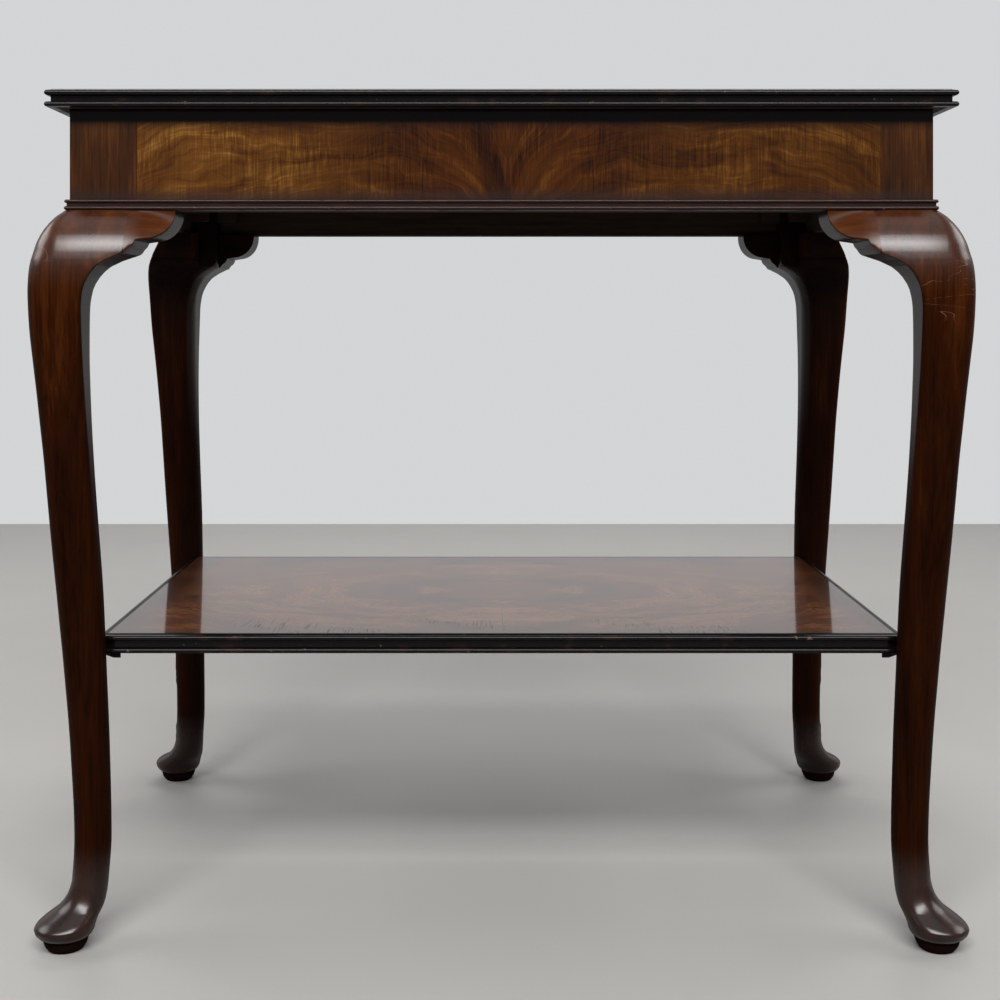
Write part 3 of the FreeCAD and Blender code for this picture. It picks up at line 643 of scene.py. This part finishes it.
# The leg's rings from the floor up: the outlines, stepped in at the shelf's housing, with the
# outer faces sunk towards the ears, and the square post on top
def legRings():
    heights = leg["stations"][:, 0]
    levels = np.union1d(heights, np.arange(0, table["legHeight"], leg["levelGap"]))
    foot = table["shelfFoot"] - leg["notchPlay"]
    head = table["shelfTop"] + leg["notchPlay"]
    levels = np.sort(np.concatenate((levels, (foot, foot, head, head))))
    outline = legOutlines(through(heights, leg["stations"][:, 1:], levels))
    x, y = outline[..., 0], outline[..., 1]
    order = np.arange(len(levels))
    first, last = np.flatnonzero(levels == foot), np.flatnonzero(levels == head)
    notched = ((order >= first[1]) & (order <= last[0]))[:, None]
    notch = leg["notch"]
    cut = notched & (x > notch) & (y > notch)
    newX = np.where(cut & (x <= y + 1e-7), notch, x)
    newY = np.where(cut & (y <= x + 1e-7), notch, y)
    newX = np.where((newX < 0) & (y > leg["sinkStart"]), -sunk(-newX, y), newX)
    newY = np.where((newY < 0) & (x > leg["sinkStart"]), -sunk(-newY, x), newY)
    rings = np.stack((newX, newY, np.broadcast_to(levels[:, None], x.shape)), -1)
    # the post's points are the last ring's, drawn in to the square
    centre = (leg["veneer"] + leg["post"]) / 2
    reach = (leg["post"] - leg["veneer"]) / 2
    away = rings[-1, :, :2] - (leg["post"] - 27 * mm)
    away = away / np.abs(away).max(-1, keepdims=True) * reach + centre
    post = [np.concatenate((away, np.full((len(away), 1), z)), -1)
            for z in (table["legHeight"], table["friezeTop"])]
    return np.concatenate((rings, post))


# Marks round the leg, counted in corners: half on the inner faces, whole on the faces turned
# to the middle of the width, and a soft step between
def innerMarks():
    perCorner = leg["arcPoints"] + len(leg["flatShares"])
    around = np.arange(4 * perCorner) / perCorner
    inner = np.clip(4 * np.minimum(around - 1.6, 3.2 - around) + 0.5, 0, 1)
    turned = np.clip(6 * np.minimum(around - 1.7, 2.4 - around) + 0.5, 0, 1)
    return (inner * 0.5 + turned * 0.5)[None, :]


corner = np.array((-table["friezeWidth"] / 2, -table["friezeDepth"] / 2, 0))
hands = (("front", "left", (1, 1, 1)), ("front", "right", (-1, 1, 1)),
         ("back", "left", (1, -1, 1)), ("back", "right", (-1, -1, 1)))
legShape, legMarks = legRings() + corner, innerMarks()
for end, side, flip in hands:
    addPiece(f"leg_{end}_{side}", legShape * flip, legWalnut, legMarks)
print("legs carved")


ear = {
    "depth": 31 * mm,
    "edgeRadius": 1.1 * mm,
    "edgePoints": 5,
    "facePoints": 15,
    "lipShare": 0.02,
    # the sawn underside in mm, from the tip: an arc by its ends, radius and points; a ledge;
    # another arc; and the toe on the leg
    "lobe": ((69, 586.5), (88, 610.7), 23, 26),
    "ledge": ((66, 586.1), (63, 585.7), (60.5, 585.3), (59, 585.0)),
    "step": ((53.5, 578.7), (58.5, 585.0), 9, 10),
    "toe": ((52.4, 577.3), (51.2, 575.9), (50, 574.5)),
}


# An arc of a circle between two points, bulging to the right of the way from first to last:
# its centre lies off the chord's middle by the root of the radius squared less half the
# chord squared
def arcBetween(first, last, radius, count):
    first, last = np.array(first, float), np.array(last, float)
    chord = last - first
    length = np.hypot(*chord)
    lift = np.sqrt(radius ** 2 - length ** 2 / 4)
    centre = (first + last) / 2 + np.array((-chord[1], chord[0])) / length * lift
    a, b = (np.arctan2(*(p - centre)[::-1]) for p in (first, last))
    b = a + (b - a) % (2 * np.pi)
    angles = np.linspace(a, b, count)
    return centre + radius * np.stack((np.cos(angles), np.sin(angles)), -1)


# The ear, section by section from its tip to the leg: each section runs down the swelling
# face, round the lower edge in a quarter circle, back along the sawn underside and up the
# flat back
def earRings():
    outline = np.concatenate((arcBetween(*ear["lobe"])[::-1], ear["ledge"],
                              arcBetween(*ear["step"])[::-1], ear["toe"])) * mm
    x, under = outline[:, :1], outline[:, 1:]
    top = table["legHeight"]
    radius = np.minimum(ear["edgeRadius"], (top - under) * 0.4)
    share = np.linspace(0, 1, ear["facePoints"])[None, :]
    z = top + (under + radius - top) * share
    face = -sunk(kneeFace(z.reshape(-1)).reshape(z.shape), x)
    turn = np.linspace(0, np.pi / 2, ear["edgePoints"] + 1)[1:][None, :]
    edgeY = face[:, -1:] + radius * (1 - np.cos(turn))
    edgeZ = under + radius * (1 - np.sin(turn))
    back = ear["depth"]
    restY = np.broadcast_to(np.array([[0.0, back, back, back, back]]), (len(x), 5))
    lip = under + (top - under) * ear["lipShare"]
    restZ = np.concatenate((under, under, lip, (under + top) / 2, np.full_like(under, top)), 1)
    y = np.concatenate((face, edgeY, restY), 1)
    height = np.concatenate((z, edgeZ, restZ), 1)
    return np.stack((np.broadcast_to(x, y.shape), y, height), -1)


earShape = earRings()
number = np.arange(earShape.shape[1])[None, :]
firstSawn, lastUnder = ear["facePoints"] + 3, ear["facePoints"] + 6
sawnMarks = 0.5 * (number >= firstSawn) + 0.5 * ((number >= firstSawn) & (number <= lastUnder))
for end, side, flip in hands:
    for toward, shape, finish, marks in (
            (end, earShape, earWalnutAcross, sawnMarks),
            ("side", earShape[..., [1, 0, 2]], earWalnutAlong, sawnMarks / 2)):
        addPiece(f"ear_{end}_{side}_{toward}", (shape + corner) * flip, finish,
                 marks)
print("ears carved")


# in mm, as is usual for a moulding's section
moulding = {
    "topEdgeHeight": 14.6,
    "shelfEdgeHeight": 15.7,
    "projection": 4.2,
    "beadRadius": 2.3,
    "backWidth": 7.0,
    "topDrop": 1.0,
    "flatShare": 0.78,
    "corner": 0.3,
    "smallUpper": 1.5,
    "smallLower": 1.75,
    "smallBack": 4.8,
    "smallHeight": 8.9,
    "smallProud": 3.8,
    "sections": 61,
}


def halfRound(x, z, radius, finish=270, count=17):
    angles = np.radians(np.linspace(90, finish, count))
    return np.stack((x + radius * np.cos(angles), z + radius * np.sin(angles)), -1)


# Section of the big double bead as (distance in from the outermost line, height): two half
# rounds, the lower one cut off level by the foot
def edgeProfile(height):
    r, root = moulding["beadRadius"], moulding["projection"]
    upper, low = height - moulding["topDrop"], r * moulding["flatShare"]
    stop = 180 + np.degrees(np.arcsin(moulding["flatShare"]))
    return np.concatenate((
        [(root + moulding["corner"], height), (root, height - moulding["corner"])],
        halfRound(r, upper - r, r), [(root, upper - 2 * r), (root, low + r)],
        halfRound(r, low, r, stop),
        [(moulding["backWidth"], 0), (moulding["backWidth"], height)])) * mm


# Section of the small double bead: a half round of each size, one above the other
def beadProfile():
    up, low, height = moulding["smallUpper"], moulding["smallLower"], moulding["smallHeight"]
    return np.concatenate((
        halfRound(low, height - up, up), [(low, 2 * low + moulding["corner"])],
        halfRound(low, low, low),
        [(moulding["smallBack"], 0), (moulding["smallBack"], height)])) * mm


# A moulding along one side: its section carried along the run, each end slanted by the
# mitre, so a point further in stops sooner
def mouldingRings(profile, length, across, base, turn):
    share = np.linspace(-1, 1, moulding["sections"])[:, None]
    inset, rise = profile[:, 0][None, :], profile[:, 1][None, :]
    x = share * (length / 2 - inset)
    y = -across / 2 + inset + 0 * share
    z = base + rise + 0 * share
    c, s = ((1, 0), (0, 1), (-1, 0), (0, -1))[turn]
    return np.stack((c * x - s * y, s * x + c * y, z), -1)


inset, proud = -2 * table["shelfInset"], 2 * moulding["smallProud"] * mm
runs = (
    ("top_edge", edgeProfile(moulding["topEdgeHeight"]), table["topWidth"], table["topDepth"],
     table["friezeTop"], blackEdge),
    ("shelf_edge", edgeProfile(moulding["shelfEdgeHeight"]), table["friezeWidth"] + inset,
     table["friezeDepth"] + inset, table["shelfFoot"], blackEdge),
    ("frieze_bead", beadProfile(), table["friezeWidth"] + proud, table["friezeDepth"] + proud,
     table["legHeight"], brownBead),
)
for start, profile, width, depth, base, finish in runs:
    for turn, side in enumerate(("front", "right", "back", "left")):
        length, across = (width, depth) if turn % 2 == 0 else (depth, width)
        addPiece(f"{start}_{side}", mouldingRings(profile, length, across, base, turn), finish)
print("mouldings run")


studio = {
    "floorColour": (0.345, 0.335, 0.322),
    "wallColour": (0.655, 0.662, 0.668),
    "roomColour": (0.420, 0.425, 0.430),
    "shade": (0.04, 0.04, 0.04),     # the room's own light on the table
    "floorReach": 2.075,
    "halfWidth": 4,
    "wallHeight": 4,
    "aim": (0, 0, 0.45),
    "overhead": {"place": (0.0, -0.3, 2.6), "size": (2.4, 1.2), "power": 8.0},
    "front": {"place": (0.0, -2.18, 2.40), "size": (2.6, 0.8), "power": 135.0},
    "back": {"place": (0.0, 1.95, 2.30), "size": (2.6, 0.8), "power": 42.0},
    "left": {"place": (-2.40, 0.20, 1.80), "size": (1.6, 1.0), "power": 26.0},
    "right": {"place": (2.40, 0.20, 1.80), "size": (1.6, 1.0), "power": 26.0},
}


# A plain coat of paint: two close tones in slow patches and a fine tooth
def paintRecipe(place, colour, darker, patches, rough, tooth):
    tones = place.noise(patches, 2.0, 0.5).ramp([(0.3, colour),
                                                 (0.7, tuple(darker * c for c in colour))])
    return tones, place.noise(8.0, 2.0, 0.5) * 0.1 + rough, place.noise(tooth, 2.0, 0.5)


def plane(name, corners, recipe):
    mesh = bpy.data.meshes.new(name)
    mesh.from_pydata(corners, [], [(0, 1, 2, 3)])
    paint = makeFinish(f"{name}_paint", recipe, 0.15, relief=0.02, distance=0.2 * mm)
    mesh.materials.append(paint)
    sheet = bpy.data.objects.new(name, mesh)
    bpy.context.scene.collection.objects.link(sheet)
    return paint.node_tree


half, reach, high = studio["halfWidth"], studio["floorReach"], studio["wallHeight"]
plane("floor", [(-half, -half, 0), (half, -half, 0), (half, reach, 0), (-half, reach, 0)],
      lambda place: paintRecipe(place, studio["floorColour"], 0.97, 2.0, 0.5, 600.0))
wallTree = plane(
    "wall", [(-half, reach, 0), (half, reach, 0), (half, reach, high), (-half, reach, high)],
    lambda place: paintRecipe(place, studio["wallColour"], 0.985, 1.5, 0.8, 500.0))

# seen directly or in a polish, the wall shows its own colour whatever light falls on it
rays = Signal(wallTree)
seen = rays.seen()
glow = rays.node("ShaderNodeEmission", None, {"Color": (*studio["wallColour"], 1), "Strength": 1.0})
painted = Signal(wallTree, wallTree.nodes["Principled BSDF"].outputs[0])
shown = rays.node("ShaderNodeMixShader", None, {0: seen, 1: painted, 2: glow})
wallTree.links.new(shown.socket, wallTree.nodes["Material Output"].inputs["Surface"])

world = bpy.data.worlds.new("studio")
bpy.context.scene.world = world
world.use_nodes = True
background = world.node_tree.nodes["Background"]
rays = Signal(world.node_tree)
room = rays.node("ShaderNodeMix", {"data_type": "RGBA"}, {
    0: rays.seen(), 6: (*studio["shade"], 1), 7: (*studio["roomColour"], 1)}, 2)
world.node_tree.links.new(room.socket, background.inputs["Color"])
background.inputs["Strength"].default_value = 1.0


def lamp(name, place, size, power):
    light = bpy.data.lights.new(name, "AREA")
    light.shape = "RECTANGLE"
    light.size, light.size_y = size
    light.energy = power
    made = bpy.data.objects.new(name, light)
    made.location = place
    way = Vector(studio["aim"]) - Vector(place)
    made.rotation_euler = way.to_track_quat("-Z", "Y").to_euler()
    made.visible_camera = False
    bpy.context.scene.collection.objects.link(made)


for name in ("overhead", "front", "back", "left", "right"):
    lamp(name, **studio[name])
print("studio lit")

picture = {
    "lens": 50.04,
    "sensor": 36,
    "shiftX": 0.0102,
    "shiftY": -0.1894,
    "place": (-0.0097, -1.3617, 0.5277),
}

camera = bpy.data.cameras.new("camera")
camera.lens = picture["lens"]
camera.sensor_width = picture["sensor"]
camera.shift_x = picture["shiftX"]
camera.shift_y = picture["shiftY"]
view = bpy.data.objects.new("camera", camera)
view.location = picture["place"]
view.rotation_euler = (np.pi / 2, 0, 0)     # level, facing the table's front
bpy.context.scene.collection.objects.link(view)
bpy.context.scene.camera = view
bpy.context.scene.view_settings.view_transform = "Standard"
